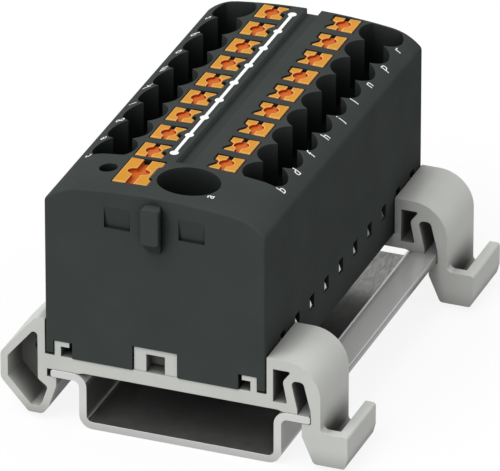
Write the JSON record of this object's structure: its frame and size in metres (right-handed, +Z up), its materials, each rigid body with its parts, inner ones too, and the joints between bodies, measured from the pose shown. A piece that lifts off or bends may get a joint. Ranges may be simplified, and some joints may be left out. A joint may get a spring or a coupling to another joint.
{
  "type": "power distribution block",
  "caption": "Push-in power distribution block on two rail feet: one feed funnel and two rows of wire funnels, each with an orange release button, on a cut of top-hat rail.",
  "frame": {"origin": "centre of the rail's underside", "axes": "+X across the rail towards the feet's latch levers, +Y along the rail from the feed end to the rear, +Z up out of the rail"},
  "size_m": [0.0469, 0.0583, 0.0346],
  "materials": {
    "black_housing": "fine matt moulded polyamide, anthracite black",
    "black_cover": "matt moulded polyamide",
    "orange_button": "satin moulded orange plastic",
    "grey_foot": "matt moulded light grey plastic",
    "zinc_rail": "rolled zinc-plated steel",
    "tinned_copper": "tin-plated copper, satin",
    "spring_steel": "bright spring steel"
  },
  "bodies": {
    "base": {"housing": "black_housing", "bottom_cover": "black_cover", "current_bar": "tinned_copper", "feed_spring": "spring_steel", "din_rail": "zinc_rail", "foot_front": "grey_foot", "foot_rear": "grey_foot", "spring_left_1": "spring_steel", "spring_left_2": "spring_steel", "spring_left_3": "spring_steel", "spring_left_4": "spring_steel", "spring_left_5": "spring_steel", "spring_left_6": "spring_steel", "spring_left_7": "spring_steel", "spring_left_8": "spring_steel", "spring_left_9": "spring_steel", "spring_right_1": "spring_steel", "spring_right_2": "spring_steel", "spring_right_3": "spring_steel", "spring_right_4": "spring_steel", "spring_right_5": "spring_steel", "spring_right_6": "spring_steel", "spring_right_7": "spring_steel", "spring_right_8": "spring_steel", "spring_right_9": "spring_steel"},
    "feed_button": {"feed_button": "orange_button"},
    "button_left_1": {"button_left_1": "orange_button"},
    "button_left_2": {"button_left_2": "orange_button"},
    "button_left_3": {"button_left_3": "orange_button"},
    "button_left_4": {"button_left_4": "orange_button"},
    "button_left_5": {"button_left_5": "orange_button"},
    "button_left_6": {"button_left_6": "orange_button"},
    "button_left_7": {"button_left_7": "orange_button"},
    "button_left_8": {"button_left_8": "orange_button"},
    "button_left_9": {"button_left_9": "orange_button"},
    "button_right_1": {"button_right_1": "orange_button"},
    "button_right_2": {"button_right_2": "orange_button"},
    "button_right_3": {"button_right_3": "orange_button"},
    "button_right_4": {"button_right_4": "orange_button"},
    "button_right_5": {"button_right_5": "orange_button"},
    "button_right_6": {"button_right_6": "orange_button"},
    "button_right_7": {"button_right_7": "orange_button"},
    "button_right_8": {"button_right_8": "orange_button"},
    "button_right_9": {"button_right_9": "orange_button"}
  },
  "joints": [
    {"name": "feed_button_press", "type": "slide", "parent": "base", "child": "feed_button", "axis": [0, 0, -1], "range_m": [0, 0.002], "stiffness_N_per_m": 4000, "deforming": ["feed_spring"]},
    {"name": "button_left_1_press", "type": "slide", "parent": "base", "child": "button_left_1", "axis": [0, 0, -1], "range_m": [0, 0.0016], "stiffness_N_per_m": 2500, "deforming": ["spring_left_1"]},
    {"name": "button_left_2_press", "type": "slide", "parent": "base", "child": "button_left_2", "axis": [0, 0, -1], "range_m": [0, 0.0016], "stiffness_N_per_m": 2500, "deforming": ["spring_left_2"]},
    {"name": "button_left_3_press", "type": "slide", "parent": "base", "child": "button_left_3", "axis": [0, 0, -1], "range_m": [0, 0.0016], "stiffness_N_per_m": 2500, "deforming": ["spring_left_3"]},
    {"name": "button_left_4_press", "type": "slide", "parent": "base", "child": "button_left_4", "axis": [0, 0, -1], "range_m": [0, 0.0016], "stiffness_N_per_m": 2500, "deforming": ["spring_left_4"]},
    {"name": "button_left_5_press", "type": "slide", "parent": "base", "child": "button_left_5", "axis": [0, 0, -1], "range_m": [0, 0.0016], "stiffness_N_per_m": 2500, "deforming": ["spring_left_5"]},
    {"name": "button_left_6_press", "type": "slide", "parent": "base", "child": "button_left_6", "axis": [0, 0, -1], "range_m": [0, 0.0016], "stiffness_N_per_m": 2500, "deforming": ["spring_left_6"]},
    {"name": "button_left_7_press", "type": "slide", "parent": "base", "child": "button_left_7", "axis": [0, 0, -1], "range_m": [0, 0.0016], "stiffness_N_per_m": 2500, "deforming": ["spring_left_7"]},
    {"name": "button_left_8_press", "type": "slide", "parent": "base", "child": "button_left_8", "axis": [0, 0, -1], "range_m": [0, 0.0016], "stiffness_N_per_m": 2500, "deforming": ["spring_left_8"]},
    {"name": "button_left_9_press", "type": "slide", "parent": "base", "child": "button_left_9", "axis": [0, 0, -1], "range_m": [0, 0.0016], "stiffness_N_per_m": 2500, "deforming": ["spring_left_9"]},
    {"name": "button_right_1_press", "type": "slide", "parent": "base", "child": "button_right_1", "axis": [0, 0, -1], "range_m": [0, 0.0016], "stiffness_N_per_m": 2500, "deforming": ["spring_right_1"]},
    {"name": "button_right_2_press", "type": "slide", "parent": "base", "child": "button_right_2", "axis": [0, 0, -1], "range_m": [0, 0.0016], "stiffness_N_per_m": 2500, "deforming": ["spring_right_2"]},
    {"name": "button_right_3_press", "type": "slide", "parent": "base", "child": "button_right_3", "axis": [0, 0, -1], "range_m": [0, 0.0016], "stiffness_N_per_m": 2500, "deforming": ["spring_right_3"]},
    {"name": "button_right_4_press", "type": "slide", "parent": "base", "child": "button_right_4", "axis": [0, 0, -1], "range_m": [0, 0.0016], "stiffness_N_per_m": 2500, "deforming": ["spring_right_4"]},
    {"name": "button_right_5_press", "type": "slide", "parent": "base", "child": "button_right_5", "axis": [0, 0, -1], "range_m": [0, 0.0016], "stiffness_N_per_m": 2500, "deforming": ["spring_right_5"]},
    {"name": "button_right_6_press", "type": "slide", "parent": "base", "child": "button_right_6", "axis": [0, 0, -1], "range_m": [0, 0.0016], "stiffness_N_per_m": 2500, "deforming": ["spring_right_6"]},
    {"name": "button_right_7_press", "type": "slide", "parent": "base", "child": "button_right_7", "axis": [0, 0, -1], "range_m": [0, 0.0016], "stiffness_N_per_m": 2500, "deforming": ["spring_right_7"]},
    {"name": "button_right_8_press", "type": "slide", "parent": "base", "child": "button_right_8", "axis": [0, 0, -1], "range_m": [0, 0.0016], "stiffness_N_per_m": 2500, "deforming": ["spring_right_8"]},
    {"name": "button_right_9_press", "type": "slide", "parent": "base", "child": "button_right_9", "axis": [0, 0, -1], "range_m": [0, 0.0016], "stiffness_N_per_m": 2500, "deforming": ["spring_right_9"]}
  ]
}
